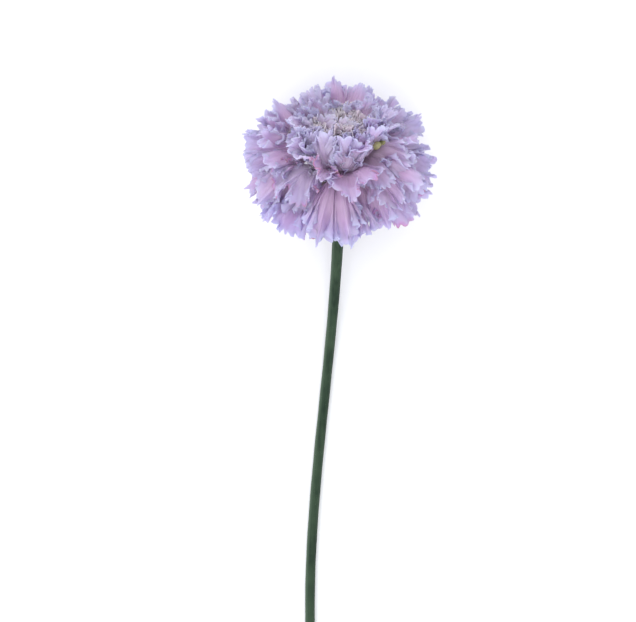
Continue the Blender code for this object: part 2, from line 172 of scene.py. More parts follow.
# Petal detail
PETAL_COLUMNS = 150
PETAL_ROWS = 13
LIP_COLUMNS = 80
LIP_ROWS = 8
ROW_CROWDING = 1.4
PETAL_THICKNESS = 0.2 * MM
TOOTH_COLUMNS = (3, 3, 4, 5)
TOOTH_DEPTH = 1.6 * MM
TOOTH_SHARPNESS = 1.4
FIRST_BITE_RANGE = (0.4, 1.2)
BITE_RANGE = (0.4, 1.3)
BITE_DEPTH = 1.3 * MM
BITE_WIDTH = 2.3 * MM
SLIT_DEPTH = 0.14
SLIT_WIDTH = 0.03
RUFFLE_WIDTH = 9 * MM
RUFFLE_LIFT = 1.5 * MM
RUFFLE_SWAY = 0.05
LOBE_TWIST = 1.4 * MM
CRIMP_WIDTH = 3.1 * MM
CRIMP_LIFT = 0.5 * MM
PLEAT_WIDTH = 1.8 * MM
PLEAT_LIFT = 0.1 * MM
CRUMPLE_WIDTH = 5.0 * MM
CRUMPLE_LIFT = 0.8 * MM
CRUMPLE_WAVES = 4

# Petals that touch the surface: their layers over it, in thicknesses, and how far they fold back
SOFT_CONTACT = 0.5 * MM
FOLD_BACK = 0.9
LOWEST_LAYER = 0.6
RESTING_LAYERS = 5

# Small frilled petals of the disc, from the innermost outwards
FRILL_COUNT = 72
FRILL_INNER_POLAR = 7 * DEGREE
FRILL_EDGE_POLAR = 44 * DEGREE
FRILL_INNER_LENGTH = 8.5 * MM
FRILL_EDGE_LENGTH = 11.5 * MM
FRILL_SPREAD = 44 * DEGREE
FRILL_LEAN = 16 * DEGREE
FRILL_FRONT_BEND = -30 * DEGREE
FRILL_AZIMUTH_SCATTER = 0.2
FRILL_ROLL_SHARE = 1.4
FRILL_LENGTH_RANGE = (0.85, 1.15)
FRILL_LEAN_RANGE = (0, 1.6)
FRILL_CURL_RANGE = (-5, 35)
FRILL_CUP_RANGE = (0.2, 0.7)
FRILL_WAVE_RANGE = (0.4, 1.1)
FRILL_BEND_RANGE = (0.6, 1.3)
FRILL_COLUMNS = 60
FRILL_ROWS = 8

# How far the disc's near edge is drawn in towards the head's axis
DISC_FRONT_LOSS = 0.42

# Trumpets of the disc, from the innermost outwards
DISC_COUNT = 34
DISC_INNER_POLAR = 13 * DEGREE
DISC_EDGE_POLAR = 35 * DEGREE
DISC_ROOT = 11 * MM
DISC_INNER_TOP = 17 * MM
DISC_EDGE_TOP = 19.5 * MM
DISC_INNER_RADIUS = 2.2 * MM
DISC_EDGE_RADIUS = 2.9 * MM
DISC_TOP_SCATTER = 0.7 * MM
DISC_RADIUS_RANGE = (0.9, 1.15)
TRUMPET_ROOT_RADIUS = 0.5 * MM
TRUMPET_THROAT = 0.85 * MM
TRUMPET_MOUTH_RISE = 3.6 * MM
TRUMPET_LOBES = 5
TRUMPET_NOTCH = 0.3
TRUMPET_LOPSIDE = 0.3
TRUMPET_CRIMP = 0.3 * MM
TRUMPET_WAVES = ((0.6 * MM, 5), (0.35 * MM, 13), (0.5 * MM, 2))
DISC_COLUMNS = 54
DISC_TUBE_ROWS = 3
DISC_FLARE_ROWS = 7

# Unopened buds in the middle of the disc
BUD_COUNT = 7
BUD_RADIUS = 1.15 * MM
BUD_STRETCH = 1.5
BUD_RING = 1.75 * MM
BUD_HEIGHT = 15.2 * MM
BUD_LEAN = 0.18
BUD_SEAM = 0.12

# Unopened buds among the petals at the disc's edge: azimuth and polar angle of each
EDGE_BUDS = ((-36, 46), (-29, 41), (-25, 48), (58, 40), (203, 42))
EDGE_BUD_HEIGHT = 20.5 * MM
EDGE_BUD_SCALE = 1.1

# Dark calyx bristles
BRISTLE_COUNT = 26
BRISTLE_EDGE_POLAR = 46 * DEGREE
BRISTLE_TOP = 19.5 * MM
BRISTLE_LENGTH = 8 * MM
BRISTLE_RADIUS = 0.24 * MM
BRISTLE_TURN = 0.5
BRISTLE_TOP_RANGE = (0.93, 1.04)
BRISTLE_TILT = 0.25

# Stem
CUT_END_Y = -93 * MM
CUT_SLANT = 35 * DEGREE
STEM_RADIUS = 1.6 * MM
STEM_TOP_RADIUS = 1.85 * MM
STEM_SWAY = 9.7 * MM
STEM_SWAY_LENGTH = 140 * MM
STEM_TOP_DEPTH = 7.4 * MM
STEM_REST = 0.96
STEM_SIDES = 48
STEM_RINGS = 150
STEM_TAPER = 0.41
STEM_RIBS = 8
STEM_RIB_DEPTH = 0.035
STEM_UNEVENNESS = 0.012
LEAST_HEIGHT = 0.02 * MM

# Hairs of the stem; their turns round it are in half turns
HAIR_COUNT = 700
HAIR_RADIUS = 0.025 * MM
HAIR_NEAR_LENGTH = 1.0 * MM
HAIR_FAR_LENGTH = 0.45 * MM
HAIRS_END = 0.985
HAIR_TURNS = (-0.35, 1.35)
HAIR_SLANT = 0.25
HAIR_ROOT_SHARE = 0.97

# Involucre
RECEPTACLE_RADIUS = 6.2 * MM
BRACT_COUNT = 12
BRACT_LENGTH = 17 * MM
BRACT_WIDTH = 3.4 * MM
BRACT_POLAR = 122 * DEGREE
BRACT_ROOT = 4 * MM
BRACT_KEEL = 0.5 * MM
BRACT_THICKNESS = 0.45 * MM
BRACT_COLUMNS = 10
BRACT_ROWS = 24
SHORT_BRACT_SHARE = 0.86
BRACT_TAPER = 0.8
BRACT_WAVE = 0.02
BRACT_ARCH = 0.1
FOOT_START = 0.45
FOOT_DEPTH = -7.1 * MM
FOOT_WIDTH_SHARE = 0.95
FOOT_RIB_DEPTH = 0.05

# Calyx cups, from foot to top
CUP_RADIUS = 1.0 * MM
CUP_FOOT = 5.0 * MM
CUP_TOP = 14.5 * MM
CUP_FOOT_SHARE = 1.5
CUP_TOP_SHARE = 0.75
CUP_RIBS = 8
CUP_RIB_DEPTH = 0.12

# Colours
PETAL_STOPS = [
    (0.0, (0.70, 0.60, 0.62, 1)),
    (0.22, (0.77, 0.58, 0.76, 1)),
    (0.55, (0.74, 0.56, 0.80, 1)),
    (0.8, (0.72, 0.63, 0.88, 1)),
    (1.0, (0.72, 0.74, 0.94, 1)),
]
CREAM_STOPS = [
    (0.0, (0.80, 0.76, 0.73, 1)),
    (0.35, (0.89, 0.82, 0.84, 1)),
    (0.7, (0.90, 0.82, 0.87, 1)),
    (1.0, (0.90, 0.85, 0.89, 1)),
]
PETAL_PINK = (0.68, 0.36, 0.66, 1)
PETAL_BLUE = (0.68, 0.66, 0.90, 1)
DISC_PINK = (0.78, 0.52, 0.66, 1)
DISC_GREY = (0.76, 0.76, 0.80, 1)
PALE = (0.90, 0.87, 0.89, 1)
FINE_VEIN = (0.42, 0.28, 0.5, 1)
MAGENTA_STAIN = (0.74, 0.22, 0.62, 1)
BROWN_STAIN = (0.50, 0.38, 0.14, 1)
# The stem's painted highlight: a paler streak down one side, where the light falls
STEM_PAINTED_HIGHLIGHT = (0.06, 0.095, 0.062, 1)
STEM_GREENS = ((0.010, 0.026, 0.014, 1), (0.036, 0.066, 0.036, 1))
BRACT_GREENS = ((0.03, 0.06, 0.03, 1), (0.10, 0.17, 0.07, 1))
CUP_GREENS = ((0.30, 0.29, 0.18, 1), (0.58, 0.52, 0.46, 1))
BUD_GREENS = ((0.19, 0.19, 0.07, 1), (0.48, 0.45, 0.24, 1))
BRISTLE_BROWNS = ((0.05, 0.035, 0.025, 1), (0.14, 0.10, 0.06, 1))
HAIR_GREENS = ((0.22, 0.26, 0.20, 1), (0.42, 0.46, 0.38, 1))
FLOOR_WHITE = (0.93, 0.93, 0.94, 1)
SKY_WHITE = (0.95, 0.97, 1, 1)
SKY_STRENGTH = 1.2

# Floor and lights; each light has a name, a size, a power and a place
FLOOR_SIZE = 6
FLOOR_LEVEL = -0.05 * MM
LIGHTS_AIM = Vector((0, 0.03, 0.02))
LIGHTS = (("soft_key", 1.1, 5, (-0.8, 0.8, 0.8)), ("soft_fill", 1.2, 6, (-0.2, -0.85, 0.9)))

Floret = namedtuple("Floret", "azimuth polar length spread lean curl cup wave phase roll bend")


# Small tools of the bench


def smooth(t):
    t = np.clip(t, 0, 1)
    return t * t * (3 - 2 * t)


def mix(a, b, t):
    return a + (b - a) * t


def frontness(azimuth):
    """From 0 at the back and sides of the head to 1 at its front."""
    return max(0.0, -math.sin(azimuth))


def drawn_in(azimuth, polar):
    """A polar angle in the disc, made smaller towards the disc's near edge."""
    return polar * (1 - DISC_FRONT_LOSS * frontness(azimuth))


def direction(azimuth, polar):
    return Matrix.Rotation(azimuth, 4, "Z") @ Matrix.Rotation(polar, 4, "Y")


def pick_only(*objects):
    bpy.ops.object.select_all(action="DESELECT")
    for obj in objects:
        obj.select_set(True)
    bpy.context.view_layer.objects.active = objects[0]


def points_of(obj):
    points = np.empty(len(obj.data.vertices) * 3)
    obj.data.vertices.foreach_get("co", points)
    return points.reshape(-1, 3)


def set_points(obj, points):
    obj.data.vertices.foreach_set("co", np.ascontiguousarray(points, np.float32).ravel())
    obj.data.update()


def moved(points, place):
    matrix = np.array(place)
    return points @ matrix[:3, :3].T + matrix[:3, 3]


def flat_grid(columns, rows):
    """A flat grid from -1 to 1 both ways, modelled once for all the pieces shaped from it."""
    bpy.ops.mesh.primitive_grid_add(x_subdivisions=columns, y_subdivisions=rows, size=2)
    return bpy.context.object


def add_copy(parts, pattern, points):
    """Add a copy of the pattern, with its points moved to these, to the parts of a piece."""
    obj = pattern.copy()
    obj.data = pattern.data.copy()
    bpy.context.scene.collection.objects.link(obj)
    set_points(obj, points)
    parts.append(obj)
    return obj


def joined(parts, name):
    pick_only(*parts)
    if len(parts) > 1:
        bpy.ops.object.join()
    obj = bpy.context.object
    obj.name = name
    obj.data.name = name
    return obj


def discard(*objects):
    for obj in objects:
        bpy.data.objects.remove(obj, do_unlink=True)


def weld(obj, gap):
    pick_only(obj)
    bpy.ops.object.mode_set(mode="EDIT")
    bpy.ops.mesh.select_all(action="SELECT")
    bpy.ops.mesh.remove_doubles(threshold=gap)
    bpy.ops.object.mode_set(mode="OBJECT")


def thicken(obj, thickness):
    pick_only(obj)
    wall = obj.modifiers.new("wall", "SOLIDIFY")
    wall.thickness = thickness
    wall.offset = 0
    bpy.ops.object.modifier_apply(modifier=wall.name)


def shade_soft(obj, angle=60):
    pick_only(obj)
    bpy.ops.object.shade_smooth_by_angle(angle=math.radians(angle))


def mark_all(obj, tint, light, blush):
    """Write a petal's own numbers over its whole mesh, for its material to read."""
    for name, value in (("tint", tint), ("light", light), ("blush", blush)):
        layer = obj.data.attributes.new(name, "FLOAT", "POINT")
        layer.data.foreach_set("value", np.full(len(obj.data.vertices), value, np.float32))


def finish_piece(obj, material, slot, *nodes):
    obj.data.materials.clear()
    obj.data.materials.append(material)
    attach(obj, "root")
    if nodes:
        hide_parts(*nodes)


def finish_leaves(parts, name, thickness, angle, *rest):
    """Thin sheets joined into one piece, with a thickness and soft shading."""
    obj = joined(parts, name)
    thicken(obj, thickness)
    shade_soft(obj, angle)
    finish_piece(obj, *rest)


def finish_crowd(parts, name, *rest):
    """Solid parts joined into one piece, with soft shading."""
    obj = joined(parts, name)
    shade_soft(obj)
    finish_piece(obj, *rest)


# Material building


class Recipe:
    """A material or node group being built: nodes are added by type and joined by socket names."""

    def __init__(self, tree):
        self.tree = tree
        self.count = 0

    def place(self, kind, row=0):
        node = self.tree.nodes.new(kind)
        node.location = (200 * self.count, row)
        self.count += 1
        return node

    def add(self, kind, settings=None, **inputs):
        node = self.place(kind)
        for key, value in (settings or {}).items():
            setattr(node, key, value)
        for key, value in inputs.items():
            self.feed(node, key.replace("_", " "), value)
        return node

    def feed(self, node, key, value):
        socket = node.inputs[int(key)] if key.isdigit() else node.inputs[key]
        if isinstance(value, bpy.types.NodeSocket):
            self.tree.links.new(value, socket)
        else:
            socket.default_value = value

    def maths(self, operation, first, second=0.0, third=0.0, clamp=False):
        node = self.place("ShaderNodeMath", -300)
        node.operation = operation
        node.use_clamp = clamp
        for index, value in enumerate((first, second, third)):
            self.feed(node, str(index), value)
        return node.outputs[0]

    def times(self, first, second):
        return self.maths("MULTIPLY", first, second)

    def noise(self, place, scale, detail):
        node = self.add("ShaderNodeTexNoise", None, Vector=place, Scale=scale, Detail=detail)
        return node.outputs[0]

    def mark(self, name):
        """One of the numbers written over a petal's mesh."""
        return self.add("ShaderNodeAttribute", {"attribute_name": name}).outputs["Fac"]

    def sheet_place(self):
        """Where a point lies on its flat sheet: across it and along it."""
        uv = self.add("ShaderNodeUVMap", {"uv_map": "UVMap"}).outputs[0]
        parts = self.add("ShaderNodeSeparateXYZ", None, Vector=uv)
        return parts.outputs["X"], parts.outputs["Y"]

    def blend(self, factor, first, second):
        node = self.place("ShaderNodeMix", 300)
        node.data_type = "RGBA"
        self.feed(node, "0", factor)
        self.feed(node, "6", first)
        self.feed(node, "7", second)
        return node.outputs[2]

    def ramp(self, factor, stops):
        node = self.place("ShaderNodeValToRGB", 600)
        bar = node.color_ramp
        while len(bar.elements) < len(stops):
            bar.elements.new(0.5)
        for element, (place, colour) in zip(bar.elements, stops):
            element.position = place
            element.color = colour
        self.feed(node, "Fac", factor)
        return node.outputs["Color"]

    def fade(self, factor, start, first, end, last):
        """A grey value that goes from first, where the factor is start, to last, where it is end."""
        return self.ramp(factor, [(start, (first,) * 4), (end, (last,) * 4)])

    def surface(self, colour, roughness, shine, **inputs):
        inputs |= {"Base_Color": colour, "Roughness": roughness, "Specular_IOR_Level": shine}
        return self.add("ShaderNodeBsdfPrincipled", None, **inputs).outputs[0]


def new_group(name, inputs, outputs):
    group = bpy.data.node_groups.new(name, "ShaderNodeTree")
    for label, kind, default in inputs:
        socket = group.interface.new_socket(label, in_out="INPUT", socket_type=kind)
        if default is not None:
            socket.default_value = default
    for label, kind in outputs:
        group.interface.new_socket(label, in_out="OUTPUT", socket_type=kind)
    recipe = Recipe(group)
    entry = recipe.add("NodeGroupInput")
    return group, recipe, entry.outputs


def petal_veins():
    """Fine lines that fan from the root to the margin, from the sheet's own across and along."""
    group, recipe, given = new_group(
        "petal veins",
        [
            ("Across", "NodeSocketFloat", 0.5),
            ("Along", "NodeSocketFloat", 0.5),
            ("Draw", "NodeSocketFloat", 0.0),
        ],
        [("Main", "NodeSocketFloat"), ("Fine", "NodeSocketFloat")],
    )
    shift = recipe.times(given["Draw"], 7.0)
    across = given["Across"]
    spot = recipe.add("ShaderNodeCombineXYZ", None, X=across, Y=given["Along"], Z=shift).outputs[0]
    wander = recipe.noise(spot, 3.0, 2.0)
    for label, lines, drift, sharp in (("Main", 11.0, 0.9, 5.0), ("Fine", 37.0, 1.8, 2.0)):
        bend = recipe.maths("MULTIPLY_ADD", wander, drift, shift)
        turn = recipe.maths("MULTIPLY_ADD", across, lines, bend)
        wave = recipe.maths("COSINE", recipe.times(turn, math.tau))
        lifted = recipe.maths("MULTIPLY_ADD", wave, 0.5, 0.5)
        line = recipe.maths("POWER", lifted, sharp)
        if label == "Main":
            main = line
    recipe.add("NodeGroupOutput", None, Main=main, Fine=line)
    return group


def plant_mottle():
    """Soft uneven patches, for any living surface."""
    group, recipe, given = new_group(
        "plant mottle",
        [("Scale", "NodeSocketFloat", 400.0), ("Contrast", "NodeSocketFloat", 1.0)],
        [("Patch", "NodeSocketFloat"), ("Grain", "NodeSocketFloat")],
    )
    place = recipe.add("ShaderNodeTexCoord").outputs["Object"]
    scale = given["Scale"]
    patch = recipe.noise(place, scale, 3.0)
    centred = recipe.maths("SUBTRACT", patch, 0.5)
    spread = recipe.maths("MULTIPLY_ADD", centred, given["Contrast"], 0.5, clamp=True)
    close_scale = recipe.times(scale, 9.0)
    grain = recipe.noise(place, close_scale, 2.0)
    recipe.add("NodeGroupOutput", None, Patch=spread, Grain=grain)
    return group


def new_material(name):
    material = bpy.data.materials.new(name)
    material.use_nodes = True
    tree = material.node_tree
    tree.nodes.clear()
    recipe = Recipe(tree)
    output = recipe.add("ShaderNodeOutputMaterial")
    return material, recipe, output


def petal_material(name, veins, mottle, stops, pink, cool, share):
    """Petal: its colour runs from root to margin, with veins, pink flushes and each petal's own tint.

    The share is how much light comes through it.
    """
    material, recipe, output = new_material(name)
    across, along = recipe.sheet_place()
    tint = recipe.mark("tint")
    light = recipe.mark("light")
    lines = recipe.add("ShaderNodeGroup", {"node_tree": veins}, Across=across, Along=along, Draw=tint)
    patches = recipe.add("ShaderNodeGroup", {"node_tree": mottle}, Scale=170.0, Contrast=2.6)
    patch, grain = patches.outputs["Patch"], patches.outputs["Grain"]
    main, fine = lines.outputs["Main"], lines.outputs["Fine"]
    uneven = recipe.maths("MULTIPLY_ADD", recipe.maths("SUBTRACT", patch, 0.5), 0.16, along)
    colour = recipe.ramp(uneven, stops)
    flush = recipe.times(recipe.maths("SUBTRACT", tint, 0.45, clamp=True), 1.1)
    flush = recipe.times(flush, recipe.fade(along, 0.1, 1, 0.95, 0.1))
    colour = recipe.blend(flush, colour, pink)
    coolness = recipe.maths("SUBTRACT", 0.45, tint, clamp=True)
    colour = recipe.blend(coolness, colour, cool)
    vein_mask = recipe.times(main, recipe.fade(along, 0.2, 0.26, 1, 0.07))
    colour = recipe.blend(vein_mask, colour, pink)
    fine_mask = recipe.times(fine, 0.12)
    colour = recipe.blend(fine_mask, colour, FINE_VEIN)
    colour = recipe.blend(light, colour, PALE)
    blush = recipe.mark("blush")
    spots = recipe.fade(patch, 0.42, 0, 0.75, 1)
    for start, end, strength, stain in ((0.72, 0.97, 0.6, MAGENTA_STAIN), (0.94, 1, 0.35, BROWN_STAIN)):
        edge = recipe.times(recipe.fade(along, start, 0, end, 1), blush)
        stained = recipe.times(edge, spots)
        colour = recipe.blend(recipe.times(stained, strength), colour, stain)
    ribs = recipe.maths("MULTIPLY_ADD", main, -0.6, recipe.times(fine, -0.5))
    height = recipe.maths("MULTIPLY_ADD", grain, 0.5, ribs)
    bump = recipe.add("ShaderNodeBump", None, Strength=0.35, Distance=0.0003, Height=height).outputs[0]
    rough = recipe.maths("MULTIPLY_ADD", grain, 0.2, 0.5)
    surface = recipe.surface(colour, rough, 0.25, Normal=bump)
    through = recipe.add("ShaderNodeBsdfTranslucent", None, Color=colour, Normal=bump).outputs[0]
    both = recipe.add("ShaderNodeMixShader", None, **{"0": share, "1": surface, "2": through})
    recipe.feed(output, "Surface", both.outputs[0])
    return material


def green_material(name, mottle, greens, streak, roughness, painted_highlight=None):
    """Pale streaks over a darker green, and a painted highlight, a paler streak down one side standing
    for the light on it, if its colour is given.
    """
    material, recipe, output = new_material(name)
    place = recipe.add("ShaderNodeTexCoord").outputs["Object"]
    stretch = recipe.add("ShaderNodeMapping", None, Vector=place, Scale=streak).outputs[0]
    streaks = recipe.noise(stretch, 1000.0, 4.0)
    patches = recipe.add("ShaderNodeGroup", {"node_tree": mottle}, Scale=120.0, Contrast=1.8)
    patch, grain = patches.outputs["Patch"], patches.outputs["Grain"]
    both = recipe.maths("MULTIPLY_ADD", patch, 0.5, recipe.times(streaks, 0.5))
    dark, pale = greens
    colour = recipe.ramp(both, [(0.3, dark), (0.72, pale)])
    if painted_highlight:
        # Painted highlight: a paler band down one side of the stem, standing for the light that falls on
        # that side
        around, _ = recipe.sheet_place()
        side = recipe.times(recipe.fade(around, 0.42, 0, 0.52, 1), recipe.fade(around, 0.6, 1, 0.69, 0))
        colour = recipe.blend(side, colour, painted_highlight)
    height = recipe.maths("MULTIPLY_ADD", streaks, 0.6, grain)
    bump = recipe.add("ShaderNodeBump", None, Strength=0.4, Distance=0.0002, Height=height).outputs[0]
    rough = recipe.maths("MULTIPLY_ADD", grain, 0.2, roughness - 0.1)
    recipe.feed(output, "Surface", recipe.surface(colour, rough, 0.2, Normal=bump))
    return material


# Ray florets


def bend_of(azimuth, polar):
    """How far a front floret bends: up over the disc's edge above the parting, to the stem below it."""
    below = smooth((polar - PARTING_TOP) / (PARTING_BOTTOM - PARTING_TOP))
    lowest = min(max((polar - PARTING_BOTTOM) / (RAY_OUTER_POLAR - PARTING_BOTTOM), 0), 1)
    bend = mix(OVER_DISC_BEND, mix(UNDER_PARTING_BEND, OUTERMOST_BEND, lowest), below)
    return frontness(azimuth) * bend


def main_florets():
    """The ray florets from the outermost inwards, each with its own seeded differences."""
    draw = random.Random(SEED)
    for i in range(RAY_COUNT):
        inward = (i + 0.5) / RAY_COUNT
        height = mix(math.cos(RAY_OUTER_POLAR), math.cos(RAY_INNER_POLAR), inward)
        azimuth = FIRST_AZIMUTH + i * GOLDEN_ANGLE + draw.uniform(-AZIMUTH_SCATTER, AZIMUTH_SCATTER)
        polar = math.acos(height) + draw.uniform(-POLAR_SCATTER, POLAR_SCATTER)
        length_share, spread_share = ODD_FLORETS.get(i, (1, 1))
        length = mix(RAY_OUTER_LENGTH, RAY_INNER_LENGTH, inward) * draw.uniform(*LENGTH_RANGE)
        lean = mix(RAY_OUTER_LEAN, RAY_INNER_LEAN, inward)
        yield Floret(
            azimuth=azimuth,
            polar=polar,
            length=length * length_share,
            spread=mix(RAY_OUTER_SPREAD, RAY_INNER_SPREAD, inward) * spread_share,
            lean=lean + draw.uniform(-LEAN_SCATTER, LEAN_SCATTER),
            curl=mix(RAY_OUTER_CURL, RAY_INNER_CURL, inward) * draw.uniform(*CURL_RANGE),
            cup=draw.uniform(*CUP_RANGE) * MM,
            wave=draw.uniform(*WAVE_RANGE) * MM,
            phase=draw.uniform(0, math.tau),
            roll=ROLL_SPREAD * draw.uniform(-1, 1) + SIDE_TURN * math.cos(azimuth),
            bend=bend_of(azimuth, polar),
        )


def inner_florets():
    """Smaller, more upright florets that close the ring between the ray florets and the disc."""
    draw = random.Random(SEED + 2)
    for i in range(INNER_COUNT):
        azimuth = (i + draw.uniform(-INNER_STEP_SCATTER, INNER_STEP_SCATTER)) * math.tau / INNER_COUNT
        polar = INNER_POLAR + draw.uniform(-INNER_POLAR_SCATTER, INNER_POLAR_SCATTER)
        farthest = INNER_FRONT_SHARE if azimuth > math.pi else INNER_BACK_SHARE
        share = mix(1, farthest, abs(math.sin(azimuth)))
        yield Floret(
            azimuth=azimuth,
            polar=polar,
            length=INNER_LENGTH * share * draw.uniform(*INNER_LENGTH_RANGE),
            spread=INNER_SPREAD,
            lean=INNER_LEAN + draw.uniform(-INNER_LEAN_SCATTER, INNER_LEAN_SCATTER),
            curl=RAY_INNER_CURL * draw.uniform(*INNER_CURL_RANGE),
            cup=draw.uniform(*INNER_CUP_RANGE) * MM,
            wave=draw.uniform(*INNER_WAVE_RANGE) * MM,
            phase=draw.uniform(0, math.tau),
            roll=ROLL_SPREAD * draw.uniform(-1, 1) + SIDE_TURN * math.cos(azimuth),
            bend=bend_of(azimuth, polar) * draw.uniform(*INNER_BEND_RANGE),
        )
    for azimuth, polar, length, spread, lean, curl, roll, bend in FRONT_FANS:
        yield Floret(
            azimuth=math.radians(azimuth),
            polar=math.radians(polar),
            length=length * MM,
            spread=math.radians(spread),
            lean=math.radians(lean),
            curl=math.radians(curl),
            cup=draw.uniform(*FAN_CUP_RANGE) * MM,
            wave=draw.uniform(*FAN_WAVE_RANGE) * MM,
            phase=draw.uniform(0, math.tau),
            roll=math.radians(roll),
            bend=math.radians(bend),
        )


def lips_of(florets):
    """The two small lobes of each floret, as one sheet that leans in towards the middle of the head."""
    draw = random.Random(SEED + 5)
    for floret in florets:
        front = frontness(floret.azimuth) * smooth((FRONT_LIP_END - floret.polar) / FRONT_LIP_BAND)
        yield floret._replace(
            length=mix(LIP_LENGTH, FRONT_LIP_LENGTH, front) * draw.uniform(*LIP_LENGTH_RANGE),
            spread=LIP_SPREAD,
            lean=mix(LIP_LEAN, FRONT_LIP_LEAN, front) * draw.uniform(*LIP_LEAN_RANGE),
            curl=math.radians(draw.uniform(*LIP_CURL_RANGE)),
            cup=draw.uniform(*LIP_CUP_RANGE) * MM,
            wave=draw.uniform(*LIP_WAVE_RANGE) * MM,
            roll=floret.roll * LIP_ROLL_SHARE,
            bend=0,
        )


def disc_frills():
    """The small frilled petals that crowd the disc: they open outwards, the front ones bent over it."""
    draw = random.Random(SEED + 6)
    for i in range(FRILL_COUNT):
        outward = (i + 0.5) / FRILL_COUNT
        azimuth = i * GOLDEN_ANGLE + draw.uniform(-FRILL_AZIMUTH_SCATTER, FRILL_AZIMUTH_SCATTER)
        polar = math.acos(mix(math.cos(FRILL_INNER_POLAR), math.cos(FRILL_EDGE_POLAR), outward))
        length = mix(FRILL_INNER_LENGTH, FRILL_EDGE_LENGTH, outward)
        yield Floret(
            azimuth=azimuth,
            polar=drawn_in(azimuth, polar),
            length=length * draw.uniform(*FRILL_LENGTH_RANGE),
            spread=FRILL_SPREAD,
            lean=FRILL_LEAN * draw.uniform(*FRILL_LEAN_RANGE),
            curl=math.radians(draw.uniform(*FRILL_CURL_RANGE)),
            cup=draw.uniform(*FRILL_CUP_RANGE) * MM,
            wave=draw.uniform(*FRILL_WAVE_RANGE) * MM,
            phase=draw.uniform(0, math.tau),
            roll=ROLL_SPREAD * draw.uniform(-FRILL_ROLL_SHARE, FRILL_ROLL_SHARE),
            bend=FRILL_FRONT_BEND * frontness(azimuth) * draw.uniform(*FRILL_BEND_RANGE),
        )


def plain_margin(floret):
    """The margin without its teeth: points to the side and forward of the root, and the way along it."""
    across = np.linspace(-1, 1, MARGIN_POINTS)
    from_middle = np.abs(across)
    from_lobe_middle = np.abs((across * LOBES + (LOBES + 1)) % 2 - 1)
    reach = 1 - SIDE_LOBE_LOSS * across * across
    reach *= 1 - LOBE_NOTCH * from_lobe_middle**LOBE_ROUNDNESS
    slit = np.exp(-(((1 - from_lobe_middle) / (LOBES * SLIT_WIDTH)) ** 2))
    reach *= 1 - SLIT_DEPTH * slit * (from_middle < SLITS_WITHIN)
    reach *= 1 - CORNER_LOSS * np.clip((from_middle - CORNER_START) / (1 - CORNER_START), 0, 1) ** 2
    side = floret.length * reach * np.sin(floret.spread * across)
    forward = floret.length * reach * np.cos(floret.spread * across)
    run = np.concatenate(([0], np.cumsum(np.hypot(np.diff(side), np.diff(forward)))))
    return across, side, forward, run


def toothed(columns, draw):
    """How deep the margin is bitten at each column: 0 at a tooth's tip, about 1 between two teeth."""
    bites = []
    deep = draw.uniform(*FIRST_BITE_RANGE)
    while len(bites) <= columns:
        wide = draw.choice(TOOTH_COLUMNS)
        following = draw.uniform(*BITE_RANGE)
        for step in range(wide):
            place = 2 * step / wide - 1
            bites.append(abs(place) ** TOOTH_SHARPNESS * (deep if place < 0 else following))
        deep = following
    return np.array(bites[: columns + 1])


def crumple(side, forward, draw):
    """Uneven dents from -1 to 1, made of a few crossing waves at random slants."""
    total = np.zeros(len(side))
    for _ in range(CRUMPLE_WAVES):
        slant = draw.uniform(0, math.pi)
        width = CRUMPLE_WIDTH * draw.uniform(0.7, 1.6)
        distance = (side * math.cos(slant) + forward * math.sin(slant)) * math.tau / width
        total += np.sin(distance + draw.uniform(0, math.tau) + 0.8 * np.sin(0.6 * distance + slant))
    return total * 2 / CRUMPLE_WAVES


def turned(first, second, angle):
    """Two coordinates after a turn by this angle, from the first axis to the second."""
    cosine, sine = np.cos(angle), np.sin(angle)
    return first * cosine - second * sine, second * cosine + first * sine


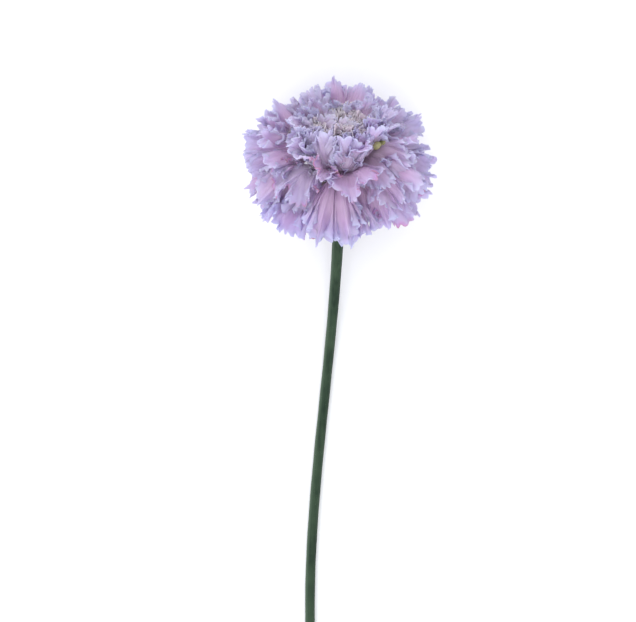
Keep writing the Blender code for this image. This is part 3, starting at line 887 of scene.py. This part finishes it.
def ruffled_points(floret, share, along, columns, draw):
    """A petal sheet's points in the head's frame, by their share of the margin and of the way out to it.

    The sines of the place across the petal, inside other sines, keep the waves from being regular.
    """
    table, sides, forwards, run = plain_margin(floret)
    around = share * run[-1]
    across = np.interp(around, run, table)
    side = np.interp(around, run, sides)
    forward = np.interp(around, run, forwards)
    out_side = np.interp(around, run, -np.gradient(forwards, run))
    out_forward = np.interp(around, run, np.gradient(sides, run))
    phase = [draw.uniform(0, math.tau) for _ in range(12)]

    # Teeth, bites and the sideways sway of the ruffles
    near_margin = along**2
    tooth = toothed(columns, draw)[np.rint(share * columns).astype(int)]
    bite = np.maximum(0, np.sin(around / BITE_WIDTH + phase[3] + np.sin(6 * across))) ** 6
    inward = (TOOTH_DEPTH * tooth + BITE_DEPTH * bite * draw.uniform(0.2, 1)) * along**7
    fold_phase = math.tau * around / (RUFFLE_WIDTH * draw.uniform(0.8, 1.25)) + phase[4]
    fold_phase = fold_phase + 0.9 * np.sin(3 * across + phase[5])
    side, forward = along * side - inward * out_side, along * forward - inward * out_forward
    side, forward = turned(side, forward, -RUFFLE_SWAY * near_margin * np.cos(fold_phase))

    # Lift off the sheet: cups, waves, ruffles, crimps, crumples, pleats and each lobe's twist
    lift = floret.cup * near_margin * np.cos(LOBES * math.pi * across)
    lift += floret.wave * near_margin * np.sin(math.tau * WAVES_ACROSS * across + floret.phase)
    ruffle_size = floret.length / RAY_OUTER_LENGTH
    lift += RUFFLE_LIFT * ruffle_size * draw.uniform(0.7, 1.3) * along**2.5 * np.sin(fold_phase)
    crimp = np.sin(math.tau * around / CRIMP_WIDTH + phase[6] + 1.3 * np.sin(5 * across + phase[7]))
    lift += CRIMP_LIFT * along**3.5 * crimp * (0.8 + 0.5 * np.sin(4 * across + phase[8]))
    lift += CRUMPLE_LIFT * along * crumple(side, forward, draw)
    pleat = np.sin(math.tau * around / PLEAT_WIDTH + phase[9] + 1.5 * np.sin(4 * across + phase[10]))
    lift += PLEAT_LIFT * along * pleat
    lift -= LOBE_TWIST * ruffle_size * np.sin(LOBES * math.pi * across / 2 + phase[11]) * along**5
    side, lift = turned(side, lift, floret.roll)

    # The line from the root outwards, which curls and bends, and the sheet laid along it
    steps = np.linspace(0, 1.2 * floret.length, 80)
    heading = floret.polar + floret.lean + floret.curl * steps / floret.length
    bending = smooth((steps / floret.length - BEND_START) / (BEND_END - BEND_START))
    heading = heading + floret.bend * bending
    stride = steps[1]
    outward = RAY_ROOT * math.sin(floret.polar) + np.cumsum(np.sin(heading)) * stride
    upward = RAY_ROOT * math.cos(floret.polar) + np.cumsum(np.cos(heading)) * stride
    facing = np.interp(forward, steps, heading)
    radial = np.interp(forward, steps, outward) - lift * np.cos(facing)
    height = np.interp(forward, steps, upward) + lift * np.sin(facing)
    curve = SHEET_CURVE * draw.uniform(0.8, 1.3)
    radial = radial - curve * (1 - np.cos(side / curve))
    x, y = turned(radial, curve * np.sin(side / curve), floret.azimuth)
    return np.column_stack((x, y, height))


def pressed_on_surface(points, level):
    """World points, those low enough eased up onto the surface and pushed back along it."""
    easing = (points[:, 2] - level) / SOFT_CONTACT
    eased = level + SOFT_CONTACT * np.log1p(np.exp(np.minimum(easing, 30)))
    height = np.where(easing > 30, points[:, 2], eased)
    sunk = height - points[:, 2]
    return np.column_stack((points[:, 0], points[:, 1] - FOLD_BACK * sunk, height))


def add_petal(parts, sheet, columns, floret, index, paleness, blush=0.0):
    """Add a copy of the flat sheet, ruffled, toothed and put where its floret stands."""
    draw = random.Random(SEED * 100 + index)
    flat = (points_of(sheet) + 1) / 2
    along = mix(BLADE_START, 1, 1 - (1 - flat[:, 1]) ** ROW_CROWDING)
    points = moved(ruffled_points(floret, flat[:, 0], along, columns, draw), HEAD_PLACE)
    level = PETAL_THICKNESS * (LOWEST_LAYER + index % RESTING_LAYERS)
    petal = add_copy(parts, sheet, pressed_on_surface(points, level))
    mark_all(petal, draw.uniform(0, 1), min(paleness + draw.uniform(0, PALENESS_SCATTER), 1), blush)


def make_petals(petal_finish, cream_finish):
    sheet = flat_grid(PETAL_COLUMNS, PETAL_ROWS)
    lip_sheet = flat_grid(LIP_COLUMNS, LIP_ROWS)
    frill_sheet = flat_grid(FRILL_COLUMNS, FRILL_ROWS)
    outer, middle, inner, lips, frills = [], [], [], [], []
    florets = list(main_florets())
    extra = list(inner_florets())
    for index, floret in enumerate(florets):
        ring = outer if index < OUTER_RAYS else middle
        paleness = OUTERMOST_PALENESS + INWARD_PALENESS * index / RAY_COUNT
        add_petal(ring, sheet, PETAL_COLUMNS, floret, index, paleness, float(index in BLUSHED))
    for index, floret in enumerate(extra, RAY_COUNT):
        add_petal(inner, sheet, PETAL_COLUMNS, floret, index, INNER_PALENESS)
    for index, floret in enumerate(lips_of(florets + extra[:INNER_COUNT]), 100):
        add_petal(lips, lip_sheet, LIP_COLUMNS, floret, index, LIP_PALENESS)
    for index, floret in enumerate(disc_frills(), 200):
        add_petal(frills, frill_sheet, FRILL_COLUMNS, floret, index, FRILL_PALENESS)
    discard(sheet, lip_sheet, frill_sheet)
    rings = {"outer_petals": outer, "middle_petals": middle, "inner_petals": inner, "petal_lips": lips}
    for name, parts in rings.items():
        finish_leaves(parts, name, PETAL_THICKNESS, 80, petal_finish, "ray_petals", "ray_florets")
    finish_leaves(
        frills, "disc_frills", PETAL_THICKNESS, 80, cream_finish, "disc_petals", "disc_florets"
    )


# Disc florets


def trumpet_points(radius, top, across, along, draw):
    """A flat grid rolled up into a crinkled, lobed trumpet about +Z, its wide side towards +X."""
    turn = across * math.pi
    phases = [draw.uniform(0, math.tau) for _ in range(6)]
    tube_share = DISC_TUBE_ROWS / (DISC_TUBE_ROWS + DISC_FLARE_ROWS)
    tube = np.clip(along / tube_share, 0, 1)
    flare = np.clip((along - tube_share) / (1 - tube_share), 0, 1)
    in_lobe = (across * TRUMPET_LOBES / 2 % 1) * 2 - 1
    lobe = 1 - TRUMPET_NOTCH * np.abs(in_lobe) ** 3
    lobe *= 1 + TRUMPET_LOPSIDE * np.cos(turn)
    teeth = np.abs(2 * ((across * 12 + 0.4 * np.sin(3 * turn + phases[0])) % 1) - 1)
    lobe *= 1 - 0.1 * teeth * flare**3
    wide = TRUMPET_THROAT + (radius - TRUMPET_THROAT) * flare**1.1 * lobe
    narrow = mix(TRUMPET_ROOT_RADIUS, TRUMPET_THROAT, tube)
    reach = np.where(flare > 0, wide, narrow)
    rise = mix(DISC_ROOT, top - TRUMPET_MOUTH_RISE, tube)
    rise = rise + TRUMPET_MOUTH_RISE * flare**0.9 * mix(0.75, 1, lobe)
    for (lift, waves), phase in zip(TRUMPET_WAVES, phases[1:]):
        rise = rise + lift * flare**2 * np.sin(waves * turn + phase)
    reach = reach + TRUMPET_CRIMP * flare**2 * np.sin(9 * turn + 4 * flare + phases[4])
    return np.column_stack((reach * np.cos(turn), reach * np.sin(turn), rise))


def make_disc(cream_finish):
    sheet = flat_grid(DISC_COLUMNS, DISC_TUBE_ROWS + DISC_FLARE_ROWS)
    flat = points_of(sheet)
    draw = random.Random(SEED + 1)
    parts = []
    for index in range(DISC_COUNT):
        outward = (index + 0.5) / DISC_COUNT
        polar = math.acos(mix(math.cos(DISC_INNER_POLAR), math.cos(DISC_EDGE_POLAR), outward))
        top = mix(DISC_INNER_TOP, DISC_EDGE_TOP, smooth(outward))
        top += draw.uniform(-DISC_TOP_SCATTER, DISC_TOP_SCATTER)
        radius = mix(DISC_INNER_RADIUS, DISC_EDGE_RADIUS, outward) * draw.uniform(*DISC_RADIUS_RANGE)
        points = trumpet_points(radius, top, flat[:, 0], (flat[:, 1] + 1) / 2, draw)
        azimuth = index * GOLDEN_ANGLE
        tilt = direction(azimuth, drawn_in(azimuth, polar))
        trumpet = add_copy(parts, sheet, moved(moved(points, tilt), HEAD_PLACE))
        weld(trumpet, 0.001 * MM)
        mark_all(trumpet, draw.uniform(0, 1), draw.uniform(*TRUMPET_PALENESS), 0.0)
    discard(sheet)
    finish_leaves(
        parts, "disc_trumpets", PETAL_THICKNESS, 80, cream_finish, "disc_petals", "disc_florets"
    )


# Buds


def make_buds(bud_finish):
    bpy.ops.mesh.primitive_uv_sphere_add(segments=30, ring_count=16, radius=BUD_RADIUS)
    pattern = bpy.context.object
    points = points_of(pattern)
    turn = np.arctan2(points[:, 1], points[:, 0])
    height = points[:, 2] / BUD_RADIUS
    seams = 1 - BUD_SEAM * (1 - np.abs(np.sin(2.5 * turn))) * np.clip(height + 0.6, 0, 1)
    points[:, :2] *= seams[:, None]
    points[:, 2] *= BUD_STRETCH
    parts = []
    draw = random.Random(SEED + 3)
    for index in range(BUD_COUNT):
        off_axis = 0 if index == 0 else BUD_RING
        azimuth = index * math.tau / (BUD_COUNT - 1)
        centre = Vector((off_axis * math.cos(azimuth), off_axis * math.sin(azimuth), BUD_HEIGHT))
        place = HEAD_PLACE @ Matrix.Translation(centre) @ direction(azimuth, BUD_LEAN * (index > 0))
        add_copy(parts, pattern, moved(points * draw.uniform(0.9, 1.05), place))
    for azimuth, polar in EDGE_BUDS:
        tilt = direction(math.radians(azimuth), math.radians(polar))
        place = HEAD_PLACE @ tilt @ Matrix.Translation((0, 0, EDGE_BUD_HEIGHT))
        add_copy(parts, pattern, moved(points * EDGE_BUD_SCALE * draw.uniform(0.9, 1.1), place))
    discard(pattern)
    finish_crowd(parts, "unopened_buds", bud_finish, "buds", "buds")


# Stem


def stem_line():
    """Points down the stem's middle, from the head to past the cut."""
    top = HEAD_CENTRE - HEAD_AXIS * STEM_TOP_DEPTH
    rest = STEM_RADIUS * STEM_REST
    run = 2 * (top.z - rest) / math.tan(HEAD_LIFT)
    y = np.linspace(top.y, CUT_END_Y - 2 * MM, STEM_RINGS + 1)
    drop = np.minimum((top.y - y) / run, 1)
    z = rest + (top.z - rest) * (1 - drop) ** 2
    x = top.x - STEM_SWAY * smooth((top.y - y) / STEM_SWAY_LENGTH)
    return np.column_stack((x, y, z))


def make_stem(stem_finish):
    """A ribbed tube drawn out along the stem's line, cut across at a slant."""
    line = stem_line()
    ahead = np.gradient(line, axis=0)
    ahead /= np.linalg.norm(ahead, axis=1)[:, None]
    right = np.cross(ahead, (0, 0, 1.0))
    right /= np.linalg.norm(right, axis=1)[:, None]
    upward = np.cross(right, ahead)
    stem = flat_grid(STEM_SIDES, STEM_RINGS)
    flat = points_of(stem)
    ring = np.rint((flat[:, 1] + 1) / 2 * STEM_RINGS).astype(int)
    turn = flat[:, 0] * math.pi
    share = ring / STEM_RINGS
    radius = STEM_RADIUS * mix(STEM_TOP_RADIUS / STEM_RADIUS, 1, smooth(share / STEM_TAPER))
    ribs = STEM_RIB_DEPTH * np.cos(STEM_RIBS * turn + 2 * share)
    radius = radius * (1 + ribs + STEM_UNEVENNESS * np.sin(60 * share))
    around = right[ring] * np.cos(turn)[:, None] + upward[ring] * np.sin(turn)[:, None]
    points = line[ring] + around * radius[:, None]
    points[:, 2] = np.maximum(points[:, 2], LEAST_HEIGHT)
    set_points(stem, points)
    weld(stem, 0.002 * MM)
    bpy.ops.object.mode_set(mode="EDIT")
    bpy.ops.mesh.select_all(action="SELECT")
    bpy.ops.mesh.bisect(
        plane_co=(0, CUT_END_Y, 0),
        plane_no=(0, -math.cos(CUT_SLANT), -math.sin(CUT_SLANT)),
        use_fill=True,
        clear_outer=True,
    )
    bpy.ops.mesh.select_all(action="DESELECT")
    bpy.ops.mesh.select_non_manifold(extend=False)
    bpy.ops.mesh.edge_face_add()
    bpy.ops.mesh.select_all(action="SELECT")
    bpy.ops.mesh.normals_make_consistent(inside=False)
    bpy.ops.object.mode_set(mode="OBJECT")
    stem.name = "hairy_stem"
    shade_soft(stem, 40)
    finish_piece(stem, stem_finish, "stem", "stem")


def make_hairs(hair_finish):
    """Short pale hairs that stand out all round the stem, longer near the head."""
    bpy.ops.mesh.primitive_cone_add(
        vertices=3, radius1=HAIR_RADIUS, depth=1.0, end_fill_type="NOTHING"
    )
    pattern = bpy.context.object
    base = points_of(pattern)
    base[:, 2] += 0.5
    line = stem_line()
    draw = random.Random(SEED + 8)
    parts = []
    for _ in range(HAIR_COUNT):
        share = draw.uniform(0, HAIRS_END)
        place = share * STEM_RINGS
        centre = Vector([float(np.interp(place, range(len(line)), line[:, axis])) for axis in range(3)])
        turn = draw.uniform(*HAIR_TURNS) * math.pi
        outward = Vector((math.cos(turn), HAIR_SLANT, math.sin(turn)))
        length = mix(HAIR_NEAR_LENGTH, HAIR_FAR_LENGTH, smooth(share * 2)) * draw.uniform(0.6, 1.2)
        stand = Matrix.Translation(centre) @ outward.to_track_quat("Z", "Y").to_matrix().to_4x4()
        points = base * (1, 1, length)
        points[:, 2] += STEM_RADIUS * HAIR_ROOT_SHARE
        points = moved(points, stand)
        points[:, 2] = np.maximum(points[:, 2], LEAST_HEIGHT)
        add_copy(parts, pattern, points)
    discard(pattern)
    finish_piece(joined(parts, "stem_hairs"), hair_finish, "stem")


# Involucre


def make_bracts(bract_finish):
    sheet = flat_grid(BRACT_COLUMNS, BRACT_ROWS)
    flat = points_of(sheet)
    along = (flat[:, 1] + 1) / 2
    parts = []
    draw = random.Random(SEED + 4)
    for index in range(BRACT_COUNT):
        length = BRACT_LENGTH * (1 if index % 2 else SHORT_BRACT_SHARE)
        belly = 0.5 + 0.5 * np.sin(math.pi * np.minimum(along * 1.15, 1))
        width = BRACT_WIDTH * belly * (1 - BRACT_TAPER * along**3)
        side = flat[:, 0] * width / 2
        keel = BRACT_KEEL * np.abs(flat[:, 0])
        radius = BRACT_ROOT + length * along
        wave = BRACT_WAVE * np.sin(7 * along + draw.uniform(0, 6)) * flat[:, 0] * along
        polar = BRACT_POLAR - BRACT_ARCH * np.sin(math.pi * along) - keel / radius + wave
        turn = index * math.tau / BRACT_COUNT + side / radius
        off_axis = radius * np.sin(polar)
        points = np.column_stack(
            (off_axis * np.cos(turn), off_axis * np.sin(turn), radius * np.cos(polar))
        )
        add_copy(parts, sheet, pressed_on_surface(moved(points, HEAD_PLACE), BRACT_THICKNESS))
    discard(sheet)
    finish_leaves(parts, "bract_blades", BRACT_THICKNESS, 50, bract_finish, "bracts", "involucre")


def make_receptacle(bract_finish):
    """The receptacle under the florets: a ball with a ribbed foot that meets the stem."""
    bpy.ops.mesh.primitive_uv_sphere_add(segments=48, ring_count=32, radius=1)
    obj = bpy.context.object
    points = points_of(obj)
    down = np.clip(-points[:, 2], 0, 1)
    turn = np.arctan2(points[:, 1], points[:, 0])
    swell = RECEPTACLE_RADIUS * (1 - FOOT_RIB_DEPTH * np.abs(np.sin(6 * turn)) * down)
    points *= swell[:, None]
    foot = smooth((down - FOOT_START) / (1 - FOOT_START))
    points[:, 2] = mix(points[:, 2], FOOT_DEPTH * mix(FOOT_START, 1, down), foot)
    points[:, :2] *= mix(1, FOOT_WIDTH_SHARE, foot)[:, None]
    set_points(obj, moved(points, HEAD_PLACE))
    obj.name = "receptacle"
    shade_soft(obj)
    finish_piece(obj, bract_finish, "bracts", "involucre")


def make_calyx_cups(cup_finish):
    """The green cups and tubes that the petals grow from, packed over the receptacle."""
    bpy.ops.mesh.primitive_cylinder_add(
        vertices=16, radius=CUP_RADIUS, depth=1.0, end_fill_type="TRIFAN"
    )
    pattern = bpy.context.object
    bpy.ops.object.mode_set(mode="EDIT")
    for height in (-0.3, -0.1, 0.1, 0.3):
        bpy.ops.mesh.select_all(action="SELECT")
        bpy.ops.mesh.bisect(plane_co=(0, 0, height), plane_no=(0, 0, 1))
    bpy.ops.object.mode_set(mode="OBJECT")
    base = points_of(pattern)
    share = base[:, 2] + 0.5
    turn = np.arctan2(base[:, 1], base[:, 0])
    ribs = CUP_RIB_DEPTH * np.cos(CUP_RIBS * turn) * (1 - share)
    girth = mix(CUP_FOOT_SHARE, CUP_TOP_SHARE, smooth(share * 1.4)) * (1 + ribs)
    base[:, :2] *= girth[:, None]
    base[:, 2] = mix(CUP_FOOT, CUP_TOP, share)
    parts = []
    for floret in [*main_florets(), *inner_florets()]:
        tilt = direction(floret.azimuth, floret.polar)
        add_copy(parts, pattern, moved(moved(base, tilt), HEAD_PLACE))
    discard(pattern)
    finish_crowd(parts, "calyx_cups", cup_finish, "bracts")


def make_bristles(bristle_finish):
    """The dark bristles of the calyxes, which show as dots and short lines between the disc's florets."""
    bpy.ops.mesh.primitive_cone_add(
        vertices=6,
        radius1=BRISTLE_RADIUS,
        radius2=BRISTLE_RADIUS / 3,
        depth=BRISTLE_LENGTH,
        end_fill_type="TRIFAN",
    )
    pattern = bpy.context.object
    draw = random.Random(SEED + 7)
    parts = []
    for index in range(BRISTLE_COUNT):
        outward = (index + 0.5) / BRISTLE_COUNT
        azimuth = index * GOLDEN_ANGLE + BRISTLE_TURN
        polar = math.acos(mix(1, math.cos(BRISTLE_EDGE_POLAR), outward))
        height = BRISTLE_TOP * draw.uniform(*BRISTLE_TOP_RANGE) - BRISTLE_LENGTH / 2
        place = (
            HEAD_PLACE
            @ direction(azimuth, drawn_in(azimuth, polar))
            @ Matrix.Translation((0, 0, height))
            @ Matrix.Rotation(draw.uniform(-BRISTLE_TILT, BRISTLE_TILT), 4, "X")
        )
        add_copy(parts, pattern, moved(points_of(pattern), place))
    discard(pattern)
    finish_crowd(parts, "calyx_bristles", bristle_finish, "bracts")


# Surroundings


def make_floor():
    bpy.ops.mesh.primitive_plane_add(size=FLOOR_SIZE, location=(0, 0, FLOOR_LEVEL))
    floor = bpy.context.object
    floor.name = "floor"
    material, recipe, output = new_material("pale floor")
    recipe.feed(output, "Surface", recipe.surface(FLOOR_WHITE, 0.9, 0.1))
    floor.data.materials.append(material)


def put_in_scene(name, data, place):
    obj = bpy.data.objects.new(name, data)
    obj.location = place
    bpy.context.scene.collection.objects.link(obj)
    return obj


def make_camera_and_light():
    camera = bpy.data.cameras.new("camera")
    camera.sensor_width = SENSOR_WIDTH
    camera.lens = SENSOR_WIDTH * CAMERA_HEIGHT_OVER_HEAD / VIEW_WIDTH
    camera.clip_end = 10
    bpy.context.scene.camera = put_in_scene("camera", camera, CAMERA_PLACE)
    world = bpy.data.worlds.new("studio")
    world.use_nodes = True
    sky = world.node_tree.nodes["Background"]
    sky.inputs["Color"].default_value = SKY_WHITE
    sky.inputs["Strength"].default_value = SKY_STRENGTH
    bpy.context.scene.world = world
    bpy.context.scene.view_settings.view_transform = "Standard"
    for name, size, power, place in LIGHTS:
        lamp = bpy.data.lights.new(name, "AREA")
        lamp.size = size
        lamp.energy = power
        obj = put_in_scene(name, lamp, place)
        obj.rotation_euler = (LIGHTS_AIM - Vector(place)).to_track_quat("-Z", "Y").to_euler()


def main():
    veins = petal_veins()
    mottle = plant_mottle()
    lilac = petal_material(
        "ruffled lilac petal", veins, mottle, PETAL_STOPS, PETAL_PINK, PETAL_BLUE, 0.55
    )
    cream = petal_material(
        "crinkled cream petal", veins, mottle, CREAM_STOPS, DISC_PINK, DISC_GREY, 0.5
    )
    stem_green = green_material("stem green", mottle, STEM_GREENS, (1.0, 0.04, 1.0), 0.6, STEM_PAINTED_HIGHLIGHT)
    bract_green = green_material("bract green", mottle, BRACT_GREENS, (0.3, 0.3, 0.3), 0.6)
    cup_green = green_material("calyx green", mottle, CUP_GREENS, (0.4, 0.4, 0.4), 0.6)
    bud_green = green_material("bud green", mottle, BUD_GREENS, (0.5, 0.5, 0.5), 0.55)
    bristle_brown = green_material("bristle brown", mottle, BRISTLE_BROWNS, (0.5, 0.5, 0.5), 0.6)
    hair_white = green_material("pale hair", mottle, HAIR_GREENS, (0.5, 0.5, 0.5), 0.6)
    make_petals(lilac, cream)
    make_disc(cream)
    make_buds(bud_green)
    make_stem(stem_green)
    make_hairs(hair_white)
    make_bracts(bract_green)
    make_receptacle(bract_green)
    make_calyx_cups(cup_green)
    make_bristles(bristle_brown)
    make_floor()
    make_camera_and_light()


main()
